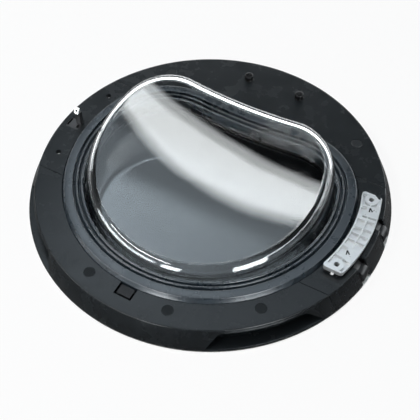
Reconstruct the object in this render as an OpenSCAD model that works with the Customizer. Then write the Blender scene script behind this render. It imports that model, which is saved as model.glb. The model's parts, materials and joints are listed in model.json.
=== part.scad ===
// Round rear-access door of a tumble dryer, lying on its front face.
// Origin: bottom centre. +X runs to the hinge, +Y to the hollowed side of the glass, +Z out of the
// rear face. In use the door hangs with +Y downwards and the rear face towards the drum.
// The glass, its seal and the opening in the covers are parallel outlines of one D shape: a round
// side, two corners and a slightly hollow straight side.

/* [Door] */
// Overall diameter, across the trim ring
door_d = 480; // [430:1:560]
// Height of the black side wall, from the trim ring to the rear face
side_h = 27.2; // [25:0.1:36]
// How far the side wall leans in over its height
side_lean = 11.5; // [8:0.1:13]
// Thickness of the trim ring
trim_t = 4; // [3.5:0.1:6]
// Width of the rear face, from the outer circle to the opening on the round side
land_w = 46.7; // [44:0.1:52]
// Wall thickness of the moulded covers
wall = 2.5; // [2:0.1:3]
// Half the distance between the two rows of seams
seam_y = 92; // [86:1:98]
// Gap between neighbouring covers
seam_gap = 0.7; // [0.4:0.1:1.2]

/* [D outline] */
// Sideways distance from the centre to each corner's centre
corner_x = 85.1; // [75:0.1:95]
// Height of the corners' centres above the door's centre
corner_y = 27; // [20:0.1:34]
// Centre of the shallow arc that hollows the straight side
hollow_y = 900; // [700:10:1200]

/* [Glass] */
// Thickness of the glass
glass_t = 4.5; // [3.5:0.1:6]
// How far the foot of the glass wall stands inside the opening
glass_inset = 30.3; // [28:0.1:33]
// How far the glass wall leans in from foot to crown
glass_lean = 4.8; // [2:0.1:8]
// Height of the crown above the front plane, at the door's centre
crown_h = 62.5; // [52:0.1:75]
// Slope of the crown towards the straight side
crown_slope = 0.216; // [0.1:0.001:0.3]
// Upward bend of the crown, per millimetre
crown_bend = 0.000707; // [0:0.0001:0.001]
// Outer radius round the crown
crown_r = 9; // [6:0.1:12]
// Thickness of the flat flange round the foot
flange_t = 4; // [3:0.1:5]

/* [Seal] */
// Height of the seal's flat band above the rear face
seal_rise = 6.3; // [4:0.1:8]
// Width of the seal's flat band
seal_band = 11.2; // [9:0.1:12]

/* [Window] */
// Thickness of the front window
window_t = 3; // [2.5:0.1:4]
// How far the window sits back from the trim ring's front
window_recess = 0.8; // [0.3:0.1:1.2]
// Width of the trim ring's flat front
ring_w = 50; // [46:0.5:54]

/* [Hinge] */
// Distance of the hinge axis inside the door's edge
axis_in = 14; // [13:0.1:16]
// Height of the hinge axis above the front plane
axis_z = 14; // [13:0.1:15]
// Distance of each hinge arm from the middle
arm_y = 33; // [30:0.5:38]
// Width of each hinge arm
arm_w = 15; // [12:0.5:17]
// Radius of the knuckle at the end of each arm
knuckle_r = 9.5; // [8:0.1:10]
// Diameter of each hinge pin
pin_d = 4.5; // [3:0.1:5]
// Distance between the plate's two mounting holes
plate_hole_gap = 110.6; // [106:0.1:114]
// Diameter of the plate's mounting holes
plate_hole_d = 6.5; // [5:0.1:7]

/* [Fasteners] */
// Shaft diameter of the screws
screw_d = 4; // [3:0.1:5]
// Diameter of the plug caps over the cover screws
cap_d = 14; // [11:0.1:15]
// Clearance between parts that fit in one another
fit = 0.15; // [0.05:0.05:0.3]

/* [Hidden] */

$fn = 64;
round_fn = 240;
eps = 0.02;

// Main circles and levels
door_r = door_d / 2;
top_r = door_r - side_lean;
face_z = trim_t + side_h;
open_r = door_r - land_w;
edge_r = 1.2;
deck_z = trim_t + 7.5;
deck_t = 3.5;
deck_top = deck_z + deck_t;
flange_top = deck_top + flange_t;
seal_top = face_z + seal_rise;

function cone_r(z) = door_r - side_lean * (z - trim_t) / side_h;

// D outline: the round side is an arc about the door's centre, the corners are arcs about
// (corner_x, corner_y), and the hollow side is an arc about (0, hollow_y)
corner_off = norm([corner_x, corner_y]);
corner_a = atan2(corner_y, corner_x);
hollow_half = atan2(corner_x, hollow_y - corner_y);
hollow_a = 90 + hollow_half;
hollow_sum = norm([corner_x, hollow_y - corner_y]) + corner_off;

// Outline points as [x, y], counter-clockwise. fine multiplies the number of points.
n_round = 44;
n_corner = 12;
n_hollow = 6;
n_d = n_round + 2 * n_corner + n_hollow;

function arc_points(c, r, a0, a1, n) = [for (i = [0 : n - 1])
    let (a = a0 + i * (a1 - a0) / n) [c[0] + r * cos(a), c[1] + r * sin(a)]];

function d_outline(r, fine = 1) = concat(
    arc_points([0, 0], r, 180 - corner_a, 360 + corner_a, n_round * fine),
    arc_points([corner_x, corner_y], r - corner_off, corner_a, hollow_a, n_corner * fine),
    arc_points([0, hollow_y], hollow_sum - r, 270 + hollow_half, 270 - hollow_half, n_hollow * fine),
    arc_points([-corner_x, corner_y], r - corner_off, 180 - hollow_a, 180 - corner_a, n_corner * fine));

// Upright walls and openings on the D outline
wall_fine = 2;

module d_prism(r, z, h) translate([0, 0, z]) linear_extrude(h) polygon(d_outline(r, wall_fine));

module d_wall(r, t, z, h) {
    difference() {
        d_prism(r + t, z, h);
        d_prism(r, z - 1, h + 2);
    }
}

module ring(r_in, r_out, z, h) {
    rotate_extrude($fn = round_fn) translate([r_in, z]) square([r_out - r_in, h]);
}

module at_polar(r, a) {
    rotate([0, 0, a]) translate([r, 0, 0]) children();
}

// Screw and cap positions
cap_r = door_r - 32.7;
stop_cap_a = [45.3, 134.7];
grip_cap_a = [-44.7, -74.8, -105.2];
cap_a = concat(stop_cap_a, grip_cap_a);
cap_t = 2.4;
head_r = 4.3;
head_h = 2.6;
tower_floor = 2.5;
tower_r = 7;
screw_r = screw_d / 2;
hole_r = screw_r + 2 * fit;
side_screw_x = door_r - 40.5;
side_screw_y = 61;
side_head_r = 3.2;
side_hole_r = side_head_r + 0.4;
side_floor_z = face_z - 7.5;
ring_screw_r = door_r - 27;
ring_screw_a = [30, 67, 113, 150, -160, -90, -20];

module pan_screw(r_head, h_head, length) {
    rotate_extrude($fn = 48)
        polygon([[0, 0.9], [0.9, 0.9], [0.9, h_head], [r_head * 0.55, h_head], [r_head * 0.9, h_head * 0.7],
                 [r_head, h_head * 0.35], [r_head, 0], [screw_r, 0], [screw_r, 1.2 - length], [0.6, -length],
                 [0, -length]]);
}

// Trim ring: the satin front ring, with a rebate for the window and posts for the screws
ring_in = door_r - ring_w;
ledge_w = 8;
ledge_t = 2.4;
trim_round = 3.2;
post_r = 4.5;

module trim_ring() color([0.78, 0.79, 0.8]) {
    window_seat = window_recess + window_t;
    difference() {
        union() {
            rotate_extrude($fn = round_fn)
                polygon(concat(
                    [[ring_in - ledge_w, window_seat], [ring_in - fit, window_seat], [ring_in - fit + 0.4, 0]],
                    [for (a = [-90 : 18 : 0]) [door_r - trim_round + trim_round * cos(a),
                                               trim_round + trim_round * sin(a)]],
                    [[door_r, trim_t], [ring_in + 4, trim_t], [ring_in + 4, window_seat + ledge_t],
                     [ring_in - ledge_w, window_seat + ledge_t]]));
            for (a = cap_a) at_polar(cap_r, a) post();
            for (a = ring_screw_a) at_polar(ring_screw_r, a) post();
        }
        for (a = cap_a) at_polar(cap_r, a) post_bore();
        for (a = ring_screw_a) at_polar(ring_screw_r, a) post_bore();
    }
}

module post() translate([0, 0, trim_t - 1]) cylinder(r = post_r, h = deck_z - trim_t + 1);

module post_bore() translate([0, 0, trim_t - 0.5]) cylinder(r = screw_r + 0.05, h = side_h);

module front_window() color([0.42, 0.45, 0.48, 0.8])
    translate([0, 0, window_recess]) cylinder(r = ring_in - 3 * fit, h = window_t, $fn = round_fn);

// Carrier ring: the hidden frame. Its deck carries the glass, its skirts stand on the trim ring.
carrier_r = door_r - 11;
carrier_in = open_r - glass_inset + 3.5;
skirt_t = 2.4;
skirt_z = window_recess + window_t + 0.4;
tab_x0 = -11;
tab_w = 18;
tab_y0 = -door_r + 45;
tab_d = 12.5;
tab_gap = 2.8;

module carrier_ring() color([0.16, 0.17, 0.18]) {
    difference() {
        union() {
            ring(door_r - 145, carrier_r, deck_z, deck_t);
            ring(carrier_r - skirt_t, carrier_r, trim_t, deck_z - trim_t + eps);
            snap_tab();
        }
        d_prism(carrier_in, deck_z - 1, deck_t + 2);
        for (a = cap_a) at_polar(cap_r, a) carrier_hole();
        for (a = ring_screw_a) at_polar(ring_screw_r, a) carrier_hole();
        for (x = [-1, 1]) for (y = [-1, 1])
            translate([x * side_screw_x, y * side_screw_y, 0]) carrier_pilot();
        for (p = bracket_screw_at) translate([p[0], p[1], 0]) carrier_pilot();
        for (p = latch_screw_at) translate([p[0], p[1], 0]) carrier_pilot();
        hinge_wells();
        for (side = [0, 1]) mirror([side, 0, 0]) grip_form(pocket_wall + 0.6);
    }
    d_wall(carrier_in, skirt_t, skirt_z, deck_top - 1 - skirt_z);
}

module carrier_hole() translate([0, 0, trim_t]) cylinder(r = hole_r, h = side_h);

module carrier_pilot() translate([0, 0, trim_t]) cylinder(r = screw_r + 0.05, h = side_h);

// Snap tab: a hooked tongue of the carrier that shows, flush, in a window of the grip cover
module snap_tab() {
    tab_t = 2.2;
    leg_h = face_z - 0.4 - deck_top + 1;
    translate([tab_x0, tab_y0 - tab_d, 0]) {
        translate([0, 0, face_z - 0.4 - tab_t]) cube([tab_w, tab_d, tab_t]);
        translate([0, 0, deck_top - 1]) cube([tab_w, tab_t, leg_h]);
        for (x = [0, tab_w - tab_t])
            translate([x, 0, deck_top - 1]) cube([tab_t, 8, leg_h]);
    }
}

module ring_screws() color("gainsboro")
    for (a = ring_screw_a) at_polar(ring_screw_r, a) translate([0, 0, deck_top])
        pan_screw(head_r, head_h, deck_top - trim_t - 1);

// Glass bowl: one loft of D outlines, from the middle of the inside, down the inner wall, round
// the flange and up the outside to the middle of the crown
glass_r = open_r - glass_inset;
crown_edge_r = glass_r - glass_lean - crown_r;
crown_mid_y = -35;
flange_out = open_r - 9.3;

function crown_z(y) = crown_h + crown_slope * y + crown_bend * y * y;

function lift(outline, drop) = [for (p = outline) [p[0], p[1], crown_z(p[1]) - drop]];

function level(outline, z) = [for (p = outline) [p[0], p[1], z]];

// A ring of the wall, part of the way from the foot level to the start of the crown's rounding
function wall_ring(r, foot, drop, share) =
    [for (p = d_outline(r)) [p[0], p[1], foot + (crown_z(p[1]) - drop - foot) * share]];

function shrunk(outline, s) = [for (p = outline) [p[0] * s, crown_mid_y + (p[1] - crown_mid_y) * s]];

cap_scale = [0.2, 0.4, 0.6, 0.8];
inner_r = crown_r - glass_t;
foot_z = flange_top + 1.5;

inner_rings = concat(
    [for (s = cap_scale) lift(shrunk(d_outline(crown_edge_r), s), glass_t)],
    [for (a = [90, 45, 0]) lift(d_outline(crown_edge_r + inner_r * cos(a)), glass_t + inner_r - inner_r * sin(a))],
    [wall_ring(glass_r - glass_t - glass_lean / 2, deck_top, crown_r, 0.5)],
    [level(d_outline(glass_r - glass_t), deck_top)]);

outer_rings = concat(
    [level(d_outline(flange_out), deck_top)],
    [level(d_outline(flange_out), flange_top)],
    [level(d_outline(glass_r + 1.5), flange_top)],
    [level(d_outline(glass_r), foot_z)],
    [for (s = [0.33, 0.67]) wall_ring(glass_r - glass_lean * s, foot_z, crown_r, s)],
    [for (a = [0 : 22.5 : 90]) lift(d_outline(crown_edge_r + crown_r * cos(a)), crown_r - crown_r * sin(a))],
    [for (i = [len(cap_scale) - 1 : -1 : 0]) lift(shrunk(d_outline(crown_edge_r), cap_scale[i]), 0)]);

glass_rings = concat(inner_rings, outer_rings);

// Index of a point in the loft's list, after the first middle point
function ring_point(s, i) = 1 + s * n_d + (i % n_d);

module glass_bowl() color([0.75, 0.8, 0.85, 0.35]) {
    rings = len(glass_rings);
    points = concat([[0, crown_mid_y, crown_z(crown_mid_y) - glass_t]],
                    [for (r = glass_rings) each r],
                    [[0, crown_mid_y, crown_z(crown_mid_y)]]);
    last = 1 + rings * n_d;
    faces = concat(
        [for (i = [0 : n_d - 1]) [0, ring_point(0, i), ring_point(0, i + 1)]],
        [for (s = [0 : rings - 2]) for (i = [0 : n_d - 1])
            [ring_point(s, i), ring_point(s + 1, i), ring_point(s + 1, i + 1)]],
        [for (s = [0 : rings - 2]) for (i = [0 : n_d - 1])
            [ring_point(s, i), ring_point(s + 1, i + 1), ring_point(s, i + 1)]],
        [for (i = [0 : n_d - 1]) [ring_point(rings - 1, i), last, ring_point(rings - 1, i + 1)]]);
    polyhedron(points, faces, convexity = 6);
}

// Seal: one rubber moulding. Its foot is clamped under the covers' lip, its flat band stands above
// the face and two fine ridges lie between the band and the glass.
foot_out = 4.2;
foot_t = 2.2;
band_out = open_r - 4.2;
band_in = band_out + 0.6 - seal_band;
ridge_a = band_in - 5;
ridge_b = band_in - 11.6;

function ridge_tip(x, z, r) = [for (a = [20 : 35 : 160]) [x + r * cos(a), z + r * sin(a)]];

seal_section = concat(
    [[glass_r + 2.2, flange_top], [flange_out + 0.5, flange_top], [flange_out + 0.5, deck_top],
     [open_r + foot_out, deck_top], [open_r + foot_out, deck_top + foot_t],
     [open_r - 0.6, deck_top + foot_t], [open_r - 0.6, face_z],
     [band_out + 0.8, seal_top - 0.8], [band_out, seal_top],
     [band_in + 0.8, seal_top], [band_in, seal_top - 0.8],
     [ridge_a + 3.2, seal_top - 4.4], [ridge_a + 2.1, seal_top - 4.4]],
    ridge_tip(ridge_a, seal_top - 2.2, 1.3),
    [[ridge_a - 2.4, seal_top - 5.4], [ridge_b + 3, seal_top - 5.4]],
    ridge_tip(ridge_b, seal_top - 3.6, 1.8),
    [[glass_r + 0.8, seal_top - 8], [glass_r + 0.6, flange_top + 4]]);

// Sweeps a section, a counter-clockwise list of [outline size, z], along the D outline
module d_loft(section) {
    n = len(section);
    points = [for (q = section) each level(d_outline(q[0]), q[1])];
    faces = [for (s = [0 : n - 1]) for (i = [0 : n_d - 1])
                let (a = s * n_d + i, b = s * n_d + (i + 1) % n_d,
                     c = ((s + 1) % n) * n_d + (i + 1) % n_d, d = ((s + 1) % n) * n_d + i)
                each [[a, d, c], [a, c, b]]];
    polyhedron(points, faces, convexity = 10);
}

module bowl_seal() color([0.24, 0.28, 0.32]) d_loft(seal_section);

// Covers: four black mouldings with one common section, a face, a leaning side wall and a lip
// round the opening, cut apart at the seams
lip_z = deck_top + foot_t;

module cover_section() {
    face_in = door_r - 135;
    polygon(concat(
        [[door_r, trim_t]],
        [for (a = [10 : 20 : 90]) [cone_r(face_z) - edge_r + edge_r * cos(a), face_z - edge_r + edge_r * sin(a)]],
        [[face_in, face_z], [face_in, face_z - wall], [cone_r(face_z - wall) - wall, face_z - wall],
         [door_r - wall, trim_t]]));
}

module cover_shell() {
    difference() {
        rotate_extrude($fn = round_fn) cover_section();
        d_prism(open_r, face_z - wall - 1, wall + 2);
    }
    d_wall(open_r, wall, lip_z, face_z - lip_z);
}

module cone_solid(inset) {
    rotate_extrude($fn = round_fn)
        polygon([[0, trim_t], [door_r - inset, trim_t], [top_r - inset, face_z - inset], [0, face_z - inset]]);
}

module end_region(side) {
    depth = door_d;
    y0 = side > 0 ? seam_y + seam_gap / 2 : -seam_y - seam_gap / 2 - depth;
    translate([-door_d, y0, -1]) cube([2 * door_d, depth, face_z + 10]);
}

module side_region(side) {
    half = seam_y - seam_gap / 2;
    translate([side > 0 ? 0 : -door_d, -half, -1]) cube([door_d, 2 * half, face_z + 10]);
}

// Screw tower under a cap: recess for the cap, well for the head, floor for the screw
module cap_tower() {
    translate([0, 0, deck_top]) cylinder(r = tower_r, h = face_z - deck_top - 1);
    translate([0, 0, face_z - cap_t - 2.4]) cylinder(r = cap_d / 2 + 1.6, h = cap_t + 1.4);
}

module cap_tower_bore() {
    translate([0, 0, face_z - cap_t]) cylinder(d = cap_d + 2 * fit, h = cap_t + 1);
    translate([0, 0, deck_top + tower_floor]) cylinder(r = head_r + 0.9, h = side_h);
    translate([0, 0, deck_top - 1]) cylinder(r = hole_r, h = side_h);
}

module side_tower() translate([0, 0, deck_top]) cylinder(r = side_hole_r + 2, h = face_z - deck_top - 1);

module side_tower_bore() {
    translate([0, 0, side_floor_z]) cylinder(r = side_hole_r, h = side_h);
    translate([0, 0, deck_top - 1]) cylinder(r = hole_r, h = side_h);
}

// Stop cover: the wide one beside the hollow of the glass, with the two rubber buffers
buffer_x = 40;
buffer_y = door_r - 51;
buffer_r = 6.5;
buffer_h = 8;
stem_r = 3.4;

module stop_cover() color([0.18, 0.19, 0.2])
    difference() {
        union() {
            intersection() {
                cover_shell();
                end_region(1);
            }
            for (a = stop_cap_a) at_polar(cap_r, a) cap_tower();
        }
        for (a = stop_cap_a) at_polar(cap_r, a) cap_tower_bore();
        for (x = [-buffer_x, buffer_x])
            translate([x, buffer_y, face_z - wall - 1]) cylinder(r = stem_r + 0.1, h = wall + 2);
        for (a = ring_screw_a) at_polar(ring_screw_r, a) screw_head_room();
    }

module screw_head_room() translate([0, 0, deck_top]) cylinder(r = head_r + 0.5, h = head_h + 0.5);

// Grip cover: the cover on the round side, with two finger recesses in its side wall. A recess is a
// groove round the door, kept only behind a window with sloping ends.
grip_mid_a = -45.9;
grip_back_r = door_r - 23;
grip_sill_z = trim_t + 2.6;
grip_brow_z = face_z - 5.2;
grip_top_half = 49;
grip_end_left = 68.6;
grip_end_right = 76.4;
pocket_wall = 1.8;

function grip_section(g) = [
    [grip_back_r - g, grip_sill_z + 2 - g], [grip_back_r + 6 - g, grip_sill_z - g],
    [door_r + 5, grip_sill_z - g], [door_r + 5, grip_brow_z + g],
    [grip_back_r + 4 - g, grip_brow_z + g], [grip_back_r - g, grip_brow_z - 5 + g]];

// Window across the recess, as [distance along the wall, z]
function grip_window(g) = [
    [-grip_end_left - 2 * g, grip_sill_z - g], [grip_end_right + 2 * g, grip_sill_z - g],
    [grip_top_half + 8 + g, grip_brow_z - 3.2 + g], [grip_top_half - 4 + g, grip_brow_z + g],
    [-grip_top_half + 3 - g, grip_brow_z + g], [-grip_top_half - 4 - g, grip_brow_z - 3.2 + g]];

module grip_form(g) {
    intersection() {
        rotate_extrude($fn = round_fn) polygon(grip_section(g));
        rotate([0, 0, grip_mid_a]) rotate([90, 0, 90]) linear_extrude(door_r + 10) polygon(grip_window(g));
    }
}

// Set-back of the wall over each recess: a flat facet from the crease at each end, and between them
// the cone inset by brow_inset
brow_inset = 2;
crease_a = [grip_mid_a - 16.9, grip_mid_a + 18.9];
facet_turn = [8.3, -6.6];
lean_a = atan2(side_lean, side_h);

module brow_cut() {
    top = face_z - 4.4;
    reach = 2 * door_r;
    difference() {
        intersection() {
            translate([0, 0, grip_sill_z]) linear_extrude(top - grip_sill_z)
                polygon([[0, 0], [reach * cos(crease_a[0]), reach * sin(crease_a[0])],
                         [reach * cos(crease_a[1]), reach * sin(crease_a[1])]]);
            for (i = [0, 1]) facet_side(crease_a[i], facet_turn[i]);
        }
        rotate_extrude($fn = round_fn)
            polygon([[0, 0], [cone_r(0) - brow_inset, 0], [top_r - brow_inset, face_z], [0, face_z]]);
    }
}

// Everything outside a plane that touches the wall along the crease at azimuth a
module facet_side(a, turn) {
    size = door_r;
    rotate([0, 0, a]) translate([door_r, 0, trim_t]) rotate([0, -lean_a, 0]) rotate([0, 0, turn])
        translate([0, -size, -size]) cube([size, 2 * size, 2 * size]);
}

module grip_cover() color([0.18, 0.19, 0.2])
    difference() {
        union() {
            intersection() {
                cover_shell();
                end_region(-1);
            }
            for (side = [0, 1]) mirror([side, 0, 0])
                intersection() {
                    grip_form(pocket_wall);
                    cone_solid(0.2);
                }
            for (a = grip_cap_a) at_polar(cap_r, a) cap_tower();
        }
        for (a = grip_cap_a) at_polar(cap_r, a) cap_tower_bore();
        for (side = [0, 1]) mirror([side, 0, 0]) {
            grip_form(0);
            brow_cut();
        }
        translate([tab_x0 - tab_gap, tab_y0 - tab_d - tab_gap, face_z - wall - 4])
            cube([tab_w + 2 * tab_gap, tab_d + tab_gap + 10, wall + 6]);
    }

// Hinge cover: a slot for each arm, open through the face edge and the side wall
arm_slot_gap = 1.5;
cheek_t = 3;
arm_half = arm_w / 2;
slot_half = arm_half + arm_slot_gap;
axis_x = door_r - axis_in;
slot_x0 = axis_x - 14;
cheek_top = axis_z + 9.5;

module hinge_slots() {
    for (s = [-1, 1]) translate([0, s * arm_y, 0]) {
        translate([slot_x0, -slot_half, trim_t - 1]) cube([40, 2 * slot_half, face_z + 5]);
        translate([slot_x0 + 1, -slot_half - cheek_t - 0.2, trim_t - 1])
            cube([40, 2 * (slot_half + cheek_t + 0.2), cheek_top - trim_t + 1.2]);
    }
}

// Room for the knuckles and cheeks in the carrier
module hinge_wells() {
    for (s = [-1, 1]) translate([slot_x0 - 1, s * arm_y - slot_half - cheek_t - 0.5, trim_t - 1])
        cube([40, 2 * (slot_half + cheek_t + 0.5), side_h]);
}

module hinge_cover() color([0.18, 0.19, 0.2]) side_cover(1) hinge_slots();

module latch_cover() color([0.18, 0.19, 0.2]) side_cover(-1) latch_opening();

module side_cover(side) {
    difference() {
        union() {
            intersection() {
                cover_shell();
                side_region(side);
            }
            for (y = [-1, 1]) translate([side * side_screw_x, y * side_screw_y, 0]) side_tower();
        }
        for (y = [-1, 1]) translate([side * side_screw_x, y * side_screw_y, 0]) side_tower_bore();
        children();
    }
}

module side_cover_screws() color("gainsboro")
    for (x = [-1, 1]) for (y = [-1, 1])
        translate([x * side_screw_x, y * side_screw_y, side_floor_z])
            pan_screw(side_head_r, head_h, side_floor_z - deck_z + 3);

module cap_screws() color("gainsboro")
    for (a = cap_a) at_polar(cap_r, a) translate([0, 0, deck_top + tower_floor])
        pan_screw(head_r, head_h, deck_top + tower_floor - trim_t - 1);

module plug_caps() color([0.17, 0.19, 0.2])
    for (a = cap_a) at_polar(cap_r, a)
        rotate_extrude()
            polygon([[0, face_z], [cap_d / 2 - 0.3, face_z], [cap_d / 2, face_z - 0.3],
                     [cap_d / 2, face_z - cap_t], [head_r + 0.75, face_z - cap_t],
                     [head_r + 0.75, face_z - cap_t - 2.5], [head_r - 0.2, face_z - cap_t - 2.5],
                     [head_r - 0.2, face_z - 1.2], [0, face_z - 1.2]]);

// Rubber buffers: a domed peg, a stem through the face and a bulb that holds it
module stop_buffer() {
    r = buffer_r;
    rotate_extrude()
        polygon(concat(
            [[0, -wall - 5], [1.6, -wall - 5], [stem_r + 1.2, -wall - 1.2], [stem_r + 1.2, -wall],
             [stem_r, -wall], [stem_r, 0], [r, 0], [r, buffer_h - 2]],
            [for (a = [18 : 18 : 90]) [r - 2 + 2 * cos(a), buffer_h - 2 + 2 * sin(a)]],
            [[0, buffer_h]]));
}

module stop_buffer_left() color([0.1, 0.1, 0.11]) translate([-buffer_x, buffer_y, face_z]) stop_buffer();

module stop_buffer_right() color([0.1, 0.1, 0.11]) translate([buffer_x, buffer_y, face_z]) stop_buffer();

// Hinge bracket: the fixed half, with a cheek on each side of each arm
bracket_in = door_r - 42;
bracket_half = 52;
bracket_t = 2.5;
bracket_screw_at = [for (y = [-49, -14, 14, 49]) [door_r - 35.5, y]];

module hinge_bracket() color([0.55, 0.56, 0.58])
    difference() {
        intersection() {
            union() {
                difference() {
                    translate([bracket_in, -bracket_half, deck_top])
                        cube([slot_x0 + 1.5 - bracket_in, 2 * bracket_half, bracket_t]);
                    for (s = [-1, 1]) translate([slot_x0 - 0.6, s * arm_y - slot_half, 0])
                        cube([40, 2 * slot_half, face_z]);
                }
                for (s = [-1, 1]) for (e = [-1, 1])
                    translate([0, s * arm_y + e * (slot_half + cheek_t / 2), 0]) cheek();
            }
            cone_solid(0.3);
        }
        for (p = bracket_screw_at) translate([p[0], p[1], 0]) cylinder(r = hole_r, h = face_z);
        translate([axis_x, 0, axis_z]) rotate([90, 0, 0]) cylinder(d = pin_d, h = door_d, center = true);
    }

module cheek() {
    translate([0, cheek_t / 2, 0]) rotate([90, 0, 0]) linear_extrude(cheek_t)
        polygon([[slot_x0 - 4, deck_top], [slot_x0 - 4, deck_top + 3], [slot_x0 + 3, cheek_top],
                 [door_r, cheek_top], [door_r, trim_t + 0.5], [slot_x0 + 3, trim_t + 0.5],
                 [slot_x0 + 1.2, deck_top]]);
}

module bracket_screws() color("gainsboro")
    for (p = bracket_screw_at) translate([p[0], p[1], deck_top + bracket_t])
        pan_screw(head_r - 0.6, head_h - 0.4, bracket_t + deck_t + 2);

module hinge_pin(side) {
    length = 2 * (slot_half + cheek_t) - 0.6;
    translate([axis_x, side * arm_y + length / 2, axis_z]) rotate([90, 0, 0]) cylinder(d = pin_d, h = length);
}

module hinge_pin_upper() color("silver") hinge_pin(1);

module hinge_pin_lower() color("silver") hinge_pin(-1);

// Hinge arm: the moving half, a base under the plate with two arms and their knuckles
pad_z = face_z + 0.4;
pad_t = 4.6;
plate_z = pad_z + pad_t;
plate_t = 7;
plate_top = plate_z + plate_t;
plate_in = door_r - 43.5;
plate_out = door_r - 18.3;
plate_half = 64.5;
pad_out = door_r - 22;
plate_hole_x = door_r - 38.5;

// Plan of the plate: two arcs about the door's centre, with rounded corners
module plate_plan(r_in, r_out, half, round) {
    offset(r = round, $fn = 32) offset(delta = -round)
        intersection() {
            difference() {
                circle(r = r_out, $fn = round_fn);
                circle(r = r_in, $fn = round_fn);
            }
            translate([r_in * 0.8, -half]) square([r_out, 2 * half]);
        }
}

module arm_profile() {
    x1 = axis_x - 7.5;
    difference() {
        union() {
            polygon([[axis_x - knuckle_r + 0.1, axis_z + 1], [axis_x - 13, axis_z + 10], [axis_x - 13, pad_z + pad_t],
                     [x1, pad_z + pad_t], [x1, axis_z + 14.2], [axis_x - 1.5, axis_z + knuckle_r - 0.15],
                     [axis_x, axis_z]]);
            translate([axis_x, axis_z]) circle(r = knuckle_r);
        }
        translate([axis_x, axis_z]) circle(r = pin_d / 2 + 0.06);
    }
}

module hinge_arm() color([0.12, 0.12, 0.13])
    difference() {
        union() {
            translate([0, 0, pad_z]) linear_extrude(pad_t)
                plate_plan(plate_in + 0.8, pad_out, plate_half - 0.8, 3);
            for (s = [-1, 1]) translate([0, s * arm_y + arm_half, 0]) rotate([90, 0, 0])
                linear_extrude(arm_w) arm_profile();
        }
        plate_holes();
        for (s = [-1, 1]) end_screw_bore(s);
    }

module plate_holes() {
    for (s = [-1, 1]) translate([plate_hole_x, s * plate_hole_gap / 2, pad_z - 1])
        cylinder(d = plate_hole_d, h = plate_top);
}

end_screw_z = pad_z + 2.4;
end_screw_r = 1.2;

module end_screw_bore(s) translate([plate_hole_x - 1, s * plate_half, end_screw_z]) rotate([90, 0, 0])
    cylinder(r = end_screw_r + 0.05, h = 12, center = true);

module hinge_end_screws() color("gainsboro")
    for (s = [-1, 1]) translate([plate_hole_x - 1, s * (plate_half - 0.8), end_screw_z]) rotate([-90 * s, 0, 0])
        rotate_extrude($fn = 32)
            polygon([[0, -5], [end_screw_r, -5], [end_screw_r, 0], [2.1, 0], [2.1, 0.9], [1.5, 1.7], [0, 1.9]]);

// Hinge plate: die-cast, with ribbed pockets open to the top and a boss round each hole
rib_a = [6.1, 2.5, -0.5, -3.5, -7.1];
web_r = (plate_in + plate_out) / 2;
pocket_d = 5;
rim_t = 1.6;
rib_t = 1.4;

module pocket(a0, a1, r0, r1) {
    translate([0, 0, plate_top - pocket_d]) linear_extrude(pocket_d + 1)
        intersection() {
            difference() {
                circle(r = r1, $fn = round_fn);
                circle(r = r0, $fn = round_fn);
            }
            polygon([[0, 0], [2 * r1 * cos(a1), 2 * r1 * sin(a1)], [2 * r1 * cos(a0), 2 * r1 * sin(a0)]]);
        }
}

// Two pockets side by side between two ribs
module pocket_pair(a_hi, a_lo) {
    half = rib_t / 2 / web_r * 57.3;
    pocket(a_hi - half, a_lo + half, plate_in + rim_t, web_r - rib_t / 2);
    pocket(a_hi - half, a_lo + half, web_r + rib_t / 2, plate_out - rim_t);
}

module hinge_plate() color([0.8, 0.81, 0.82])
    difference() {
        translate([0, 0, plate_z]) linear_extrude(plate_t) plate_plan(plate_in, plate_out, plate_half, 4);
        for (i = [0 : len(rib_a) - 2]) pocket_pair(rib_a[i], rib_a[i + 1]);
        // narrow slots beside the first and last ribs
        pocket(7.7, 6.9, plate_in + 6, web_r - rib_t / 2);
        pocket(7.7, 6.9, web_r + rib_t / 2, plate_out - rim_t);
        // inner pockets between the ribs and the lower boss
        pocket(-7.5, -11.6, plate_in + rim_t, web_r - 3.5);
        difference() {
            union() {
                pocket(-12.1, -16.6, plate_in + rim_t, web_r - rib_t / 2);
                pocket(-12.1, -16.6, web_r + rib_t / 2, plate_out - rim_t);
                pocket(17.6, 12.4, plate_in + rim_t, web_r - rib_t / 2);
                pocket(17.6, 12.4, web_r + rib_t / 2, plate_out - rim_t);
                pocket(11.9, 8.4, plate_in + rim_t, web_r - 4);
            }
            for (s = [-1, 1]) translate([plate_hole_x, s * plate_hole_gap / 2, 0]) cylinder(r = 8.4, h = door_d);
        }
        plate_holes();
    }

// Latch: a moulded holder in the latch cover, and a steel hook with a rectangular eye
latch_x0 = -door_r + 18.5;
latch_x1 = -door_r + 39;
latch_y0 = -14.7;
latch_y1 = 1.7;
post_x0 = -door_r + 31;
post_x1 = -door_r + 39;
post_y0 = -5.4;
post_y1 = 0.8;
post_top = face_z + 21.5;
hook_x = -door_r + 35.5;
hook_w = 6;
hook_t = 1.6;
hook_top = face_z + 29.6;
hook_y = -2.2;
hook_slope = 48.6;
hook_len = 8.6;
latch_screw_at = [[-door_r + 31, 24], [-door_r + 31, -36]];

module latch_opening() {
    translate([latch_x0 - 0.3, latch_y0 - 0.3, face_z - wall - 1])
        cube([latch_x1 - latch_x0 + 0.6, latch_y1 - latch_y0 + 0.6, wall + 2]);
}

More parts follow.
